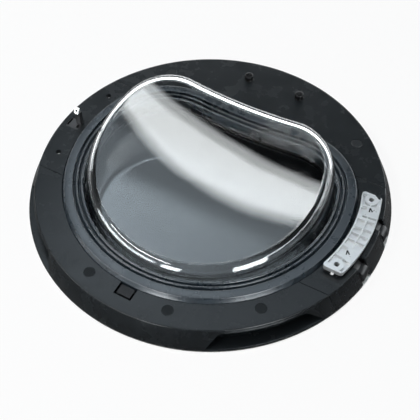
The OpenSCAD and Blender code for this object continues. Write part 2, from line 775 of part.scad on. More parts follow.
module latch_holder() color([0.09, 0.09, 0.1])
    difference() {
        union() {
            translate([-door_r + 22, -42, deck_top]) cube([18, 72, 2.5]);
            translate([latch_x0, latch_y0, deck_top])
                cube([latch_x1 - latch_x0, latch_y1 - latch_y0, face_z - 0.4 - deck_top]);
            translate([post_x0, post_y0, deck_top]) cube([post_x1 - post_x0, post_y1 - post_y0, post_top - deck_top]);
        }
        // long pocket beside the outer edge and a short slot beside the post
        translate([latch_x0 + 1, latch_y0 + 1.4, face_z - 7]) cube([3, latch_y1 - latch_y0 - 2.6, 8]);
        translate([post_x1 - 4.5, latch_y0 + 2.6, face_z - 6]) cube([3, post_y0 - latch_y0 - 3.4, 8]);
        // slot that holds the hook's shank
        translate([hook_x - hook_w / 2 - 0.05, hook_y - hook_t / 2 - 0.05, deck_top + 3])
            cube([hook_w + 0.1, hook_t + 0.1, post_top]);
        for (p = latch_screw_at) translate([p[0], p[1], 0]) cylinder(r = hole_r, h = deck_top + 3);
    }

module latch_hook() color("silver") {
    shank_z = deck_top + 3;
    difference() {
        union() {
            translate([hook_x - hook_w / 2, hook_y - hook_t / 2, shank_z])
                cube([hook_w, hook_t, hook_top - hook_t - shank_z]);
            hook_nose(0, hook_len, hook_w);
        }
        hook_nose(1.5, 4.9, hook_w - 2.4, 1);
    }
}

// Strip that slopes down from the shank's top, towards -Y
module hook_nose(start, length, width, extra = 0) {
    translate([hook_x - width / 2, hook_y, hook_top]) rotate([180 + hook_slope, 0, 0])
        translate([0, start, -extra]) cube([width, length, hook_t + 2 * extra]);
}

module latch_screws() color("gainsboro")
    for (p = latch_screw_at) translate([p[0], p[1], deck_top + 2.5])
        pan_screw(head_r - 0.6, head_h - 0.4, 2.5 + deck_t + 2);

trim_ring();
front_window();
carrier_ring();
ring_screws();
glass_bowl();
bowl_seal();
stop_cover();
grip_cover();
hinge_cover();
latch_cover();
cap_screws();
plug_caps();
side_cover_screws();
stop_buffer_left();
stop_buffer_right();
hinge_bracket();
bracket_screws();
hinge_pin_upper();
hinge_pin_lower();
hinge_arm();
hinge_plate();
hinge_end_screws();
latch_holder();
latch_hook();
latch_screws();
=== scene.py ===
"""Looks of a tumble dryer door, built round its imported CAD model.

The door lies on its front with the glass bowl up, as it does on a bench while its seal or hinge is
changed. Smooth lofts stand for the glass and for its rubber seal, the small castings and mouldings
get softened edges, and every other CAD node keeps its shape and gets a finish of its own.

Lengths are metres in the CAD model's frame: Z runs out of the rear face, X towards the hinge and Y
towards the straight side of the glass.
"""

from __future__ import annotations

import json
import logging
import math
from collections.abc import Sequence
from dataclasses import dataclass, field
from enum import Enum

import bmesh
import bpy
from mathutils import Matrix, Vector

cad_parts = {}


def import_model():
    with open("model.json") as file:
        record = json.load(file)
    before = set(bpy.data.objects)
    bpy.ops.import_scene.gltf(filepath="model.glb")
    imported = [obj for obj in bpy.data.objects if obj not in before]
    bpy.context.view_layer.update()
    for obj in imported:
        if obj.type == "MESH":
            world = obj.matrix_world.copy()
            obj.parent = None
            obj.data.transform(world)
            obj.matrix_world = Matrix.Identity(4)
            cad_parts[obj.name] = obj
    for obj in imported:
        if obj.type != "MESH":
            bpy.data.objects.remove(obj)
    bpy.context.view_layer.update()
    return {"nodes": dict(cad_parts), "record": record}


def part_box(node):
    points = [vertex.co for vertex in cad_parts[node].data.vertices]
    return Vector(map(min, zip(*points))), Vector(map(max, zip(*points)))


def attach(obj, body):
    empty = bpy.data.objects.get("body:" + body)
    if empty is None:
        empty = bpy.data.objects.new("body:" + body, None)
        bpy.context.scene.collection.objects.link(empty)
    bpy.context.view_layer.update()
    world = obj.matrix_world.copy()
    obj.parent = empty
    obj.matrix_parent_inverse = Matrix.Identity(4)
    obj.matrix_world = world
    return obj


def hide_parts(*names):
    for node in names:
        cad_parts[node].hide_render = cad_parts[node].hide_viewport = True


LOG = logging.getLogger("dryer_door")
MM = 0.001
WELD = 1e-6
LEVEL = 0.995  # a face whose normal rises this much counts as level

Colour = tuple[float, float, float]
Pair = tuple[float, float]
Outline = list[Vector]
Piece = bpy.types.Object
Socket = bpy.types.NodeSocket


class Body(Enum):
    """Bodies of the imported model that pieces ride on."""

    DOOR = "door"
    LEAF = "hinge_leaf"


class Slot(Enum):
    """Material slots of the record."""

    SATIN_RING = "satin_ring"
    TINTED_WINDOW = "tinted_window"
    FRAME_BLACK = "frame_black"
    COVER_BLACK = "cover_black"
    CAP_BLACK = "cap_black"
    CLEAR_GLASS = "clear_glass"
    SEAL_RUBBER = "seal_rubber"
    BUFFER_RUBBER = "buffer_rubber"
    SCREW_STEEL = "screw_steel"
    BRACKET_STEEL = "bracket_steel"
    HINGE_BLACK = "hinge_black"
    HINGE_CAST = "hinge_cast"
    LATCH_BLACK = "latch_black"
    LATCH_STEEL = "latch_steel"


class NodeBench:
    """Adds, sets and links the nodes of one tree."""

    def __init__(self, tree: bpy.types.NodeTree) -> None:
        """Starts with an empty tree.

        Args:
            tree: the node tree of a material, a world or a group.
        """
        self.tree = tree
        self.tree.nodes.clear()

    def add(self, kind: str, **values: float | str | Colour) -> bpy.types.Node:
        """Adds a node.

        Args:
            kind: the node's type name without its ShaderNode prefix.
            values: input sockets by name, with an underscore for each space.

        Returns:
            The new node.
        """
        node = self.tree.nodes.new("ShaderNode" + kind)
        for key, value in values.items():
            node.inputs[key.replace("_", " ")].default_value = value
        return node

    def link(self, source: Socket, target: Socket) -> None:
        """Joins an output socket to an input socket."""
        self.tree.links.new(source, target)

    def maths(self, operation: str, first: Socket, second: Socket | float) -> Socket:
        """Adds a Math node.

        Args:
            operation: the Math node's operation.
            first: the first term.
            second: the second term, a socket or a plain number.

        Returns:
            The node's output.
        """
        node = self.tree.nodes.new("ShaderNodeMath")
        node.operation = operation
        self.link(first, node.inputs[0])
        if isinstance(second, (int, float)):
            node.inputs[1].default_value = second
        else:
            self.link(second, node.inputs[1])
        return node.outputs[0]

    def fade(self, value: Socket, between: Pair, start: float, end: float) -> Socket:
        """Adds a smooth change from start to end while a value runs between two limits.

        Args:
            value: the running value.
            between: where the change starts and ends.
            start: result before the change.
            end: result after it.

        Returns:
            The node's output.
        """
        node = self.add("MapRange", From_Min=between[0], From_Max=between[1], To_Min=start, To_Max=end)
        node.interpolation_type = "SMOOTHSTEP"
        self.link(value, node.inputs["Value"])
        return node.outputs["Result"]

    def group(self, tree: bpy.types.NodeTree, place: Socket, **values: float | tuple[float, ...]) -> Socket:
        """Adds a group.

        Args:
            tree: the group's tree.
            place: the coordinates that it works on.
            values: its other inputs by name, with an underscore for each space.

        Returns:
            The group's only output.
        """
        node = self.tree.nodes.new("ShaderNodeGroup")
        node.node_tree = tree
        self.link(place, node.inputs["Vector"])
        for key, value in values.items():
            node.inputs[key.replace("_", " ")].default_value = value
        return node.outputs[0]


class SurfaceGroups:
    """The shader node groups that several finishes share, each built once."""

    def __init__(self) -> None:
        """Builds the groups."""
        self.tone = self._tone_drift()
        self.grain = self._surface_grain()
        self.polish = self._polish_drift()

    @staticmethod
    def _group(name: str, inputs: dict[str, str],
               outputs: dict[str, str]) -> tuple[NodeBench, bpy.types.Node, bpy.types.Node]:
        """Makes an empty group.

        Args:
            name: the group's name.
            inputs: socket types by input name, past the coordinates.
            outputs: socket types by output name.

        Returns:
            A bench on the group, and the group's input and output nodes.
        """
        tree = bpy.data.node_groups.new(name, "ShaderNodeTree")
        for socket, kind in {"Vector": "NodeSocketVector", **inputs}.items():
            tree.interface.new_socket(name=socket, in_out="INPUT", socket_type=kind)
        for socket, kind in outputs.items():
            tree.interface.new_socket(name=socket, in_out="OUTPUT", socket_type=kind)
        return NodeBench(tree), tree.nodes.new("NodeGroupInput"), tree.nodes.new("NodeGroupOutput")

    @staticmethod
    def _noise(bench: NodeBench, start: bpy.types.Node, scale: str, detail: float, roughness: float) -> Socket:
        """Noise over the group's coordinates, at the scale that one of its inputs gives."""
        noise = bench.add("TexNoise", Detail=detail, Roughness=roughness)
        bench.link(start.outputs["Vector"], noise.inputs["Vector"])
        bench.link(start.outputs[scale], noise.inputs["Scale"])
        return noise.outputs[0]

    def _tone_drift(self) -> bpy.types.NodeTree:
        """Colour that wanders slowly between two tones over a surface."""
        bench, start, end = self._group(
            "tone_drift",
            {"Tone": "NodeSocketColor", "Other Tone": "NodeSocketColor", "Scale": "NodeSocketFloat"},
            {"Colour": "NodeSocketColor"})
        spread = bench.add("MapRange", From_Min=0.35, From_Max=0.65)
        bench.link(self._noise(bench, start, "Scale", 4.0, 0.55), spread.inputs["Value"])
        mix = bench.add("Mix")
        mix.data_type = "RGBA"
        bench.link(spread.outputs["Result"], mix.inputs[0])
        bench.link(start.outputs["Tone"], mix.inputs[6])
        bench.link(start.outputs["Other Tone"], mix.inputs[7])
        bench.link(mix.outputs[2], end.inputs["Colour"])
        return bench.tree

    def _surface_grain(self) -> bpy.types.NodeTree:
        """Height of a fine grain, with a slower swell under it."""
        bench, start, end = self._group(
            "surface_grain",
            {"Grain": "NodeSocketFloat", "Swell": "NodeSocketFloat"},
            {"Height": "NodeSocketFloat"})
        fine = self._noise(bench, start, "Grain", 2.0, 0.6)
        slow = self._noise(bench, start, "Swell", 1.0, 0.5)
        bench.link(bench.maths("ADD", fine, slow), end.inputs["Height"])
        return bench.tree

    def _polish_drift(self) -> bpy.types.NodeTree:
        """Roughness that wanders between two values, as on a handled surface."""
        bench, start, end = self._group(
            "polish_drift",
            {"Scale": "NodeSocketFloat", "Low": "NodeSocketFloat", "High": "NodeSocketFloat"},
            {"Roughness": "NodeSocketFloat"})
        spread = bench.add("MapRange", From_Min=0.3, From_Max=0.7)
        bench.link(self._noise(bench, start, "Scale", 5.0, 0.6), spread.inputs["Value"])
        bench.link(start.outputs["Low"], spread.inputs["To Min"])
        bench.link(start.outputs["High"], spread.inputs["To Max"])
        bench.link(spread.outputs["Result"], end.inputs["Roughness"])
        return bench.tree


@dataclass(frozen=True)
class Finish:
    """An opaque surface: moulded plastic, rubber, paint or metal.

    Attributes:
        tone: the main colour.
        other_tone: the colour that it drifts towards.
        polish: lowest and highest roughness.
        metallic: 1 for bare metal, 0 for everything else.
        coat: weight of a clear top layer.
        specular: strength of the reflection, 0.5 for common plastics.
        tone_scale: patches of tone to the metre.
        grain_scale: grains to the metre.
        grain_depth: height of the grain.
        swell_scale: slow waves to the metre.
    """

    tone: Colour
    other_tone: Colour
    polish: Pair
    metallic: float = 0.0
    coat: float = 0.0
    specular: float = 0.5
    tone_scale: float = 18.0
    grain_scale: float = 1400.0
    grain_depth: float = 0.01 * MM
    swell_scale: float = 60.0

    def material(self, name: str, groups: SurfaceGroups) -> bpy.types.Material:
        """Builds the material.

        Args:
            name: the material's name.
            groups: the shared node groups.

        Returns:
            The new material.
        """
        made = bpy.data.materials.new(name)
        made.use_nodes = True
        bench = NodeBench(made.node_tree)
        place = bench.add("TexCoord").outputs["Object"]
        shader = bench.add("BsdfPrincipled", Metallic=self.metallic, Coat_Weight=self.coat,
                           Specular_IOR_Level=self.specular)
        tone = bench.group(groups.tone, place, Tone=(*self.tone, 1.0), Other_Tone=(*self.other_tone, 1.0),
                           Scale=self.tone_scale)
        bench.link(tone, shader.inputs["Base Color"])
        low, high = self.polish
        polish = bench.group(groups.polish, place, Scale=self.tone_scale * 2, Low=low, High=high)
        bench.link(polish, shader.inputs["Roughness"])
        bump = bench.add("Bump", Strength=1.0, Distance=self.grain_depth)
        bench.link(bench.group(groups.grain, place, Grain=self.grain_scale, Swell=self.swell_scale),
                   bump.inputs["Height"])
        bench.link(bump.outputs["Normal"], shader.inputs["Normal"])
        bench.link(shader.outputs[0], bench.add("OutputMaterial").inputs["Surface"])
        return made


@dataclass(frozen=True)
class Glazing:
    """A clear or tinted see-through surface.

    Attributes:
        tint: what one pass through the piece leaves of white light.
        polish: lowest and highest roughness.
        wave_scale: slow waves to the metre.
        wave_depth: height of the waves of moulded glass.
        ior: index of refraction.
    """

    tint: Colour
    polish: Pair
    wave_scale: float = 14.0
    wave_depth: float = 0.004 * MM
    ior: float = 1.5

    def material(self, name: str, groups: SurfaceGroups) -> bpy.types.Material:
        """Builds the material.

        Args:
            name: the material's name.
            groups: the shared node groups.

        Returns:
            The new material.
        """
        made = bpy.data.materials.new(name)
        made.use_nodes = True
        bench = NodeBench(made.node_tree)
        place = bench.add("TexCoord").outputs["Object"]
        shader = bench.add("BsdfPrincipled", Metallic=0.0, Transmission_Weight=1.0, IOR=self.ior)
        shader.inputs["Base Color"].default_value = (*self.tint, 1.0)
        low, high = self.polish
        polish = bench.group(groups.polish, place, Scale=self.wave_scale * 3, Low=low, High=high)
        bench.link(polish, shader.inputs["Roughness"])
        wave = bench.add("TexNoise", Scale=self.wave_scale, Detail=1.0)
        bench.link(place, wave.inputs["Vector"])
        bump = bench.add("Bump", Strength=1.0, Distance=self.wave_depth)
        bench.link(wave.outputs[0], bump.inputs["Height"])
        bench.link(bump.outputs["Normal"], shader.inputs["Normal"])
        bench.link(shader.outputs[0], bench.add("OutputMaterial").inputs["Surface"])
        return made


FINISHES: dict[Slot, Finish | Glazing] = {
    Slot.SATIN_RING: Finish((0.72, 0.71, 0.67), (0.66, 0.66, 0.63), (0.24, 0.34), metallic=0.55, coat=0.2,
                            grain_scale=2200.0, grain_depth=0.004 * MM),
    # the window's very dark tint is partly its smoked glass and partly painted shade: it darkens the white
    # table seen through it, which really lies in the door's shade
    Slot.TINTED_WINDOW: Glazing((0.022, 0.026, 0.03), (0.0, 0.02), wave_scale=5.0, wave_depth=0.002 * MM),
    Slot.FRAME_BLACK: Finish((0.016, 0.017, 0.018), (0.022, 0.023, 0.025), (0.4, 0.55), specular=0.2),
    Slot.COVER_BLACK: Finish((0.0095, 0.0116, 0.0131), (0.0115, 0.0138, 0.0155), (0.23, 0.3), specular=0.26,
                             grain_scale=2600.0, grain_depth=0.01 * MM),
    Slot.CAP_BLACK: Finish((0.006, 0.0078, 0.009), (0.008, 0.0098, 0.011), (0.42, 0.5), specular=0.14),
    Slot.CLEAR_GLASS: Glazing((0.975, 0.985, 0.985), (0.0, 0.002)),
    Slot.SEAL_RUBBER: Finish((0.016, 0.0235, 0.031), (0.02, 0.0285, 0.037), (0.24, 0.33), specular=0.64,
                             grain_scale=1800.0),
    Slot.BUFFER_RUBBER: Finish((0.004, 0.004, 0.0045), (0.007, 0.007, 0.0075), (0.2, 0.3), specular=0.14),
    Slot.SCREW_STEEL: Finish((0.9, 0.9, 0.89), (0.82, 0.82, 0.81), (0.3, 0.42), metallic=0.1, tone_scale=300.0,
                             grain_depth=0.003 * MM),
    Slot.BRACKET_STEEL: Finish((0.02, 0.02, 0.021), (0.028, 0.028, 0.029), (0.35, 0.48), metallic=0.4,
                               tone_scale=80.0, grain_depth=0.004 * MM),
    Slot.HINGE_BLACK: Finish((0.01, 0.01, 0.011), (0.015, 0.015, 0.016), (0.28, 0.42), specular=0.35,
                             grain_depth=0.008 * MM),
    Slot.HINGE_CAST: Finish((0.68, 0.69, 0.69), (0.6, 0.61, 0.62), (0.26, 0.38), metallic=0.55, tone_scale=70.0,
                            grain_scale=1100.0, grain_depth=0.018 * MM),
    Slot.LATCH_BLACK: Finish((0.01, 0.01, 0.011), (0.015, 0.015, 0.016), (0.3, 0.42)),
    Slot.LATCH_STEEL: Finish((0.7, 0.7, 0.69), (0.6, 0.6, 0.6), (0.18, 0.3), metallic=1.0, tone_scale=200.0,
                             grain_depth=0.003 * MM),
}


class Wardrobe:
    """Hands out one material for each slot of the record."""

    def __init__(self) -> None:
        """Builds every finish once."""
        groups = SurfaceGroups()
        self.made = {slot: finish.material(slot.value, groups) for slot, finish in FINISHES.items()}

    def dress_node(self, node: Piece, slot: Slot) -> None:
        """Gives a CAD node its finish.

        Args:
            node: the node's object.
            slot: the slot that the record names for it.
        """
        if not node.material_slots:
            node.data.materials.append(self.made[slot])
        for place in node.material_slots:
            place.material = self.made[slot]

    def dress_piece(self, piece: Piece, slot: Slot, body: Body) -> None:
        """Gives a new piece its finish and puts it on its body.

        Args:
            piece: the finished piece.
            slot: the slot that its finish comes from.
            body: the body that it rides on.
        """
        piece.data.materials.append(self.made[slot])
        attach(piece, body.value)
        LOG.info("%s: %d faces, on %s", piece.name, len(piece.data.polygons), body.value)


class Shell:
    """A mesh in the making. Its place is in its points, so its object stays at the origin."""

    def __init__(self) -> None:
        """Starts empty."""
        self.bm = bmesh.new()

    def loft(self, rings: Sequence[Outline], closed: bool = False) -> list[bmesh.types.BMVert]:
        """Extrudes a closed outline through a row of further ones, with as many points each.

        Args:
            rings: the outlines, from one end to the other.
            closed: True joins the last to the first, and False caps both ends.

        Returns:
            The points made.
        """
        points = bmesh.ops.create_circle(self.bm, segments=len(rings[0]), radius=1.0)["verts"]
        rank = {point: number for number, point in enumerate(points)}
        edges = [edge for edge in self.bm.edges if edge.verts[0] in rank]
        first_edges = edges
        self._place(rank, rings[0])
        made = list(points)
        for ring in [*rings[1:], rings[0]] if closed else rings[1:]:
            grown = bmesh.ops.extrude_edge_only(self.bm, edges=edges)["geom"]
            fresh = {item for item in grown if isinstance(item, bmesh.types.BMVert)}
            edges = [item for item in grown
                     if isinstance(item, bmesh.types.BMEdge) and set(item.verts) <= fresh]
            rank = {point: self._rank_below(point, rank) for point in fresh}
            self._place(rank, ring)
            made.extend(fresh)
        if closed:
            bmesh.ops.remove_doubles(self.bm, verts=made, dist=WELD)
            made = [point for point in made if point.is_valid]
        else:
            for rim in (first_edges, edges):
                cap = bmesh.ops.contextual_create(self.bm, geom=rim)["faces"]
                made.extend(bmesh.ops.poke(self.bm, faces=cap)["verts"])
        return made

    @staticmethod
    def _rank_below(point: bmesh.types.BMVert, rank: dict[bmesh.types.BMVert, int]) -> int:
        """Finds which point of the last outline a new one was extruded from."""
        for edge in point.link_edges:
            other = edge.other_vert(point)
            if other in rank:
                return rank[other]
        raise ValueError("an extruded point has lost its edge")

    @staticmethod
    def _place(rank: dict[bmesh.types.BMVert, int], ring: Outline) -> None:
        """Moves the points of one ring onto their outline."""
        for point, number in rank.items():
            point.co = ring[number]

    def turn(self, points: Sequence[bmesh.types.BMVert], matrix: Matrix) -> None:
        """Moves some points by a matrix."""
        bmesh.ops.transform(self.bm, matrix=matrix, verts=[point for point in points if point.is_valid])

    def to_object(self, name: str, crease: float = 32.0, flat: bool = False) -> Piece:
        """Closes the mesh and makes its object.

        Args:
            name: the piece's name.
            crease: angle in degrees past which an edge is shaded sharp.
            flat: True shades every level face flat.

        Returns:
            The object, linked to the scene.
        """
        bmesh.ops.recalc_face_normals(self.bm, faces=self.bm.faces)
        for face in self.bm.faces:
            face.smooth = not (flat and abs(face.normal.z) > LEVEL)
        for edge in self.bm.edges:
            edge.smooth = edge.calc_face_angle(0.0) < math.radians(crease)
        mesh = bpy.data.meshes.new(name)
        self.bm.to_mesh(mesh)
        self.bm.free()
        made = bpy.data.objects.new(name, mesh)
        bpy.context.scene.collection.objects.link(made)
        return made


def arc(centre: Pair, radius: float, start: float, end: float, steps: int) -> list[Pair]:
    """Points on an arc, both ends included.

    Args:
        centre: the arc's centre.
        radius: the arc's radius.
        start: first angle, in degrees.
        end: last angle, in degrees.
        steps: number of chords.

    Returns:
        The points in order.
    """
    angles = [math.radians(start + (end - start) * k / steps) for k in range(steps + 1)]
    return [(centre[0] + radius * math.cos(a), centre[1] + radius * math.sin(a)) for a in angles]


def circle(radius: float, height: float, steps: int, lobes: int = 0, depth: float = 0.0) -> Outline:
    """A level circle, or a star of soft lobes.

    Args:
        radius: mean radius.
        height: level of the outline.
        steps: number of points.
        lobes: number of lobes of a star.
        depth: share of the radius by which the lobes swing.

    Returns:
        The outline.
    """
    ring = []
    for k in range(steps):
        a = 2 * math.pi * k / steps
        reach = radius * (1 + depth * math.cos(lobes * a))
        ring.append(Vector((reach * math.cos(a), reach * math.sin(a), height)))
    return ring


@dataclass(frozen=True)
class BowlPlan:
    """Outlines that the glass and its seal share: a circle with one side pressed in.

    Attributes:
        corner: centre of the right corner's arc. The left corner is its mirror image.
        hollow_y: centre of the pressed-in side's arc, on the Y axis.
        round_steps: points on the round side.
        corner_steps: points on each corner.
        hollow_steps: points on the pressed-in side.
    """

    corner: Pair = (85.1 * MM, 27 * MM)
    hollow_y: float = 900 * MM
    round_steps: int = 140
    corner_steps: int = 40
    hollow_steps: int = 20

    def outline(self, size: float) -> list[Pair]:
        """Points of one outline, counter-clockwise.

        Args:
            size: radius of the round side.

        Returns:
            The points as X and Y.
        """
        x, y = self.corner
        off = math.hypot(x, y)
        corner_a = math.degrees(math.atan2(y, x))
        half = math.degrees(math.atan2(x, self.hollow_y - y))
        hollow = math.hypot(x, self.hollow_y - y) + off - size
        return [
            *arc((0, 0), size, 180 - corner_a, 360 + corner_a, self.round_steps)[:-1],
            *arc((x, y), size - off, corner_a, 90 + half, self.corner_steps)[:-1],
            *arc((0, self.hollow_y), hollow, 270 + half, 270 - half, self.hollow_steps)[:-1],
            *arc((-x, y), size - off, 90 - half, 180 - corner_a, self.corner_steps)[:-1],
        ]

    def level(self, size: float, z: float) -> Outline:
        """A level outline."""
        return [Vector((x, y, z)) for x, y in self.outline(size)]


@dataclass
class GlassBowl:
    """The pressed glass bowl: a flange, a leaning wall and a slanted crown bent along the door.

    The crown leans a little to one side, as the photograph shows it.

    Attributes:
        plan: the shared outlines.
        wall_size: outline of the wall at its foot.
        wall: thickness of the glass.
        lean: how far the wall leans in from foot to crown.
        crown_round: outer radius between wall and crown.
        crown_mid: height of the crown on the X axis.
        crown_slope: rise of the crown along Y.
        crown_tilt: its rise along X.
        crown_shift: how far the crown stands beside the foot, along X and Y.
        crown_bend: its bend along Y, per metre.
        crown_pole: where the crown's rings shrink to, on the Y axis.
        flange_size: outline of the flange's rim.
        flange_wall: thickness of the flange.
        foot_round: outer radius between flange and wall.
        inner_foot: radius on the wall's inner foot.
        rim_soft: width of the rim's broken edges.
        crown_rings: rings from the crown's middle to its edge.
        fillet_steps: rings round the crown's edge, inside and outside.
        wall_steps: rings up the wall, inside and outside.
    """

    plan: BowlPlan
    wall_size: float = 163 * MM
    wall: float = 4.5 * MM
    lean: float = 3.2 * MM
    crown_round: float = 13.5 * MM
    crown_mid: float = 66 * MM
    crown_slope: float = 0.223
    crown_tilt: float = -0.02
    crown_shift: Pair = (-1.8 * MM, 1.5 * MM)
    crown_bend: float = 0.42
    crown_pole: float = -35 * MM
    flange_size: float = 184 * MM
    flange_wall: float = 4 * MM
    foot_round: float = 1.5 * MM
    inner_foot: float = 2.5 * MM
    rim_soft: float = 0.4 * MM
    crown_rings: int = 20
    fillet_steps: tuple[int, int] = (16, 26)
    wall_steps: tuple[int, int] = (8, 10)

    def crown(self, x: float, y: float) -> float:
        """Height of the crown's outer face over a place in its outline."""
        return self.crown_mid + self.crown_slope * y + self.crown_tilt * x + self.crown_bend * y * y

    def _lift(self, outline: Sequence[Pair], drop: float) -> Outline:
        """An outline laid on the crown, lowered by drop."""
        shift_x, shift_y = self.crown_shift
        return [Vector((x + shift_x, y + shift_y, self.crown(x, y) - drop)) for x, y in outline]

    def _cap(self, drop: float) -> list[Outline]:
        """Rings of the crown, from near its middle to its edge, lowered by drop."""
        edge = self.plan.outline(self.wall_size - self.lean - self.crown_round)
        rings = []
        for k in range(1, self.crown_rings):
            s = (1 - math.cos(math.pi * k / self.crown_rings)) / 2
            shrunk = [(x * s, self.crown_pole + (y - self.crown_pole) * s) for x, y in edge]
            rings.append(self._lift(shrunk, drop))
        return rings

    def _fillet(self, radius: float, drop: float, steps: int) -> list[Outline]:
        """Rings round the crown's edge, from the wall up to the crown."""
        edge = self.wall_size - self.lean - self.crown_round
        rings = []
        for out, up in arc((0, 0), radius, 0, 90, steps):
            rings.append(self._lift(self.plan.outline(edge + out), drop + radius - up))
        return rings

    def _wall(self, size: float, foot: float, steps: int) -> list[Outline]:
        """Rings of a wall, from its foot up to the start of the rounding."""
        shift_x, shift_y = self.crown_shift
        rings = []
        for k in range(steps):
            share = k / steps
            rings.append([
                Vector((x + shift_x * share, y + shift_y * share,
                        foot + (self.crown(x, y) - self.crown_round - foot) * share))
                for x, y in self.plan.outline(size - self.lean * share)])
        return rings

    def build(self) -> Piece:
        """Lofts the bowl from the middle of its inside, over the flange, to the middle of its crown.

        Returns:
            The glass.
        """
        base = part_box("glass_bowl")[0][2]
        top = base + self.flange_wall
        soft = self.rim_soft
        inner = self.wall_size - self.wall
        inner_fillet = self._fillet(self.crown_round - self.wall, self.wall, self.fillet_steps[0])
        inside = [*self._cap(self.wall), *reversed(inner_fillet),
                  *reversed(self._wall(inner, base + self.inner_foot, self.wall_steps[0]))]
        rim = arc((inner + self.inner_foot, base + self.inner_foot), self.inner_foot, 180, 270, 6)[1:]
        rim += [(self.flange_size - soft, base), (self.flange_size, base + soft),
                (self.flange_size, top - soft), (self.flange_size - soft, top)]
        foot = arc((self.wall_size + self.foot_round, top + self.foot_round), self.foot_round, 270, 180, 5)
        flange = [self.plan.level(size, z) for size, z in [*rim, *foot[:-1]]]
        outside = [*self._wall(self.wall_size, top + self.foot_round, self.wall_steps[1]),
                   *self._fillet(self.crown_round, 0.0, self.fillet_steps[1]), *reversed(self._cap(0.0))]
        shell = Shell()
        shell.loft([*inside, *flange, *outside])
        made = shell.to_object("glass_bowl_smooth")
        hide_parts("glass_bowl")
        return made


@dataclass
class BowlSeal:
    """The rubber seal: a foot under the covers, a flat band and two ridges beside the glass.

    Attributes:
        plan: the shared outlines.
        opening: outline of the covers' opening.
        glass_size: outline of the glass wall.
        flange_size: outline of the glass flange.
        foot_out: how far the foot reaches under the covers.
        foot_wall: thickness of the foot.
        band: width of the flat band.
        edge: radius on the band's edges.
        flange_wall: thickness of the glass flange.
        cover_gap: gap between the seal and the covers.
        flange_gap: gap between the seal and the flange's rim.
        ridges: distance of the outer and the inner ridge from the band.
        grooves: depth of the outer and the inner groove.
    """

    plan: BowlPlan
    opening: float = 193.3 * MM
    glass_size: float = 163 * MM
    flange_size: float = 184 * MM
    foot_out: float = 4.2 * MM
    foot_wall: float = 2.2 * MM
    band: float = 10.6 * MM
    edge: float = 1.0 * MM
    flange_wall: float = 4 * MM
    cover_gap: float = 0.6 * MM
    flange_gap: float = 0.5 * MM
    ridges: Pair = (5 * MM, 11.6 * MM)
    grooves: Pair = (4.6 * MM, 5.6 * MM)

    def section(self) -> list[Pair]:
        """Points of the section as outline size and height, counter-clockwise."""
        low, high = (corner[2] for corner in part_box("bowl_seal"))
        flange_top = low + self.flange_wall
        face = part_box("stop_cover")[1][2]
        pocket, foot_rim = self.flange_size + self.flange_gap, self.opening + self.foot_out
        neck = self.opening - self.cover_gap
        band_out = self.opening - self.foot_out
        band_in = band_out - self.band
        outer_ridge, inner_ridge = (band_in - offset for offset in self.ridges)
        groove, deep = (high - depth for depth in self.grooves)
        points = [
            (self.glass_size + 2.2 * MM, flange_top), (pocket, flange_top), (pocket, low), (foot_rim, low),
            (foot_rim, low + self.foot_wall), (neck, low + self.foot_wall), (neck, face - 0.6 * MM),
            (neck - 0.5 * MM, face)]
        points += arc((band_out - 0.2 * MM, high - self.edge), self.edge, 20, 90, 5)
        points += arc((band_in + self.edge, high - self.edge), self.edge, 90, 180, 5)
        points += arc((band_in - 1.2 * MM, groove + 0.6 * MM), 1.1 * MM, -10, -170, 5)
        points += arc((outer_ridge, high - 2.2 * MM), 1.3 * MM, 10, 170, 8)
        points += arc((outer_ridge - 3.0 * MM, deep + 0.8 * MM), 1.0 * MM, -20, -160, 5)
        points += arc((inner_ridge, high - 3.6 * MM), 1.8 * MM, 5, 165, 8)
        points += [(self.glass_size + 0.8 * MM, high - 8 * MM),
                   (self.glass_size + 0.6 * MM, flange_top + 4 * MM)]
        return points

    def build(self) -> Piece:
        """Sweeps the section round the bowl.

        Returns:
            The seal.
        """
        shell = Shell()
        shell.loft([self.plan.level(size, z) for size, z in self.section()], closed=True)
        made = shell.to_object("bowl_seal_smooth", crease=40.0)
        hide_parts("bowl_seal")
        return made


@dataclass
class StarScrew:
    """A screw with a domed head and a six-lobed star recess.

    Attributes:
        head: radius of the head.
        height: height of the head.
        shank: radius of the shank.
        length: length under the head.
        star: mean radius of the recess.
        depth: depth of the recess.
        steps: points round it.
        lobes: lobes of the recess.
        lobe_depth: share of its radius by which they swing.
    """

    head: float
    height: float
    shank: float
    length: float
    star: float
    depth: float
    steps: int = 36
    lobes: int = 6
    lobe_depth: float = 0.17

    def add_to(self, shell: Shell, place: Matrix) -> None:
        """Adds the screw to a mesh, its axis along the matrix's Z.

        Args:
            shell: the mesh that takes the screw.
            place: where the underside of the head lies.
        """
        body = [(self.shank * 0.3, -self.length), (self.shank, -self.length + self.shank),
                (self.shank, 0.0), (self.head, 0.0), (self.head, self.height * 0.3),
                (self.head * 0.93, self.height * 0.68), (self.head * 0.78, self.height * 0.88),
                (self.head * 0.6, self.height)]
        rings = [circle(radius, z, self.steps) for radius, z in body]
        for radius, z in ((self.star * 1.08, self.height), (self.star, self.height - 0.08 * MM),
                          (self.star * 0.94, self.height - self.depth)):
            rings.append(circle(radius, z, self.steps, self.lobes, self.lobe_depth))
        rings.append(circle(self.star * 0.3, self.height - self.depth * 1.15, self.steps))
        shell.turn(shell.loft(rings), place)


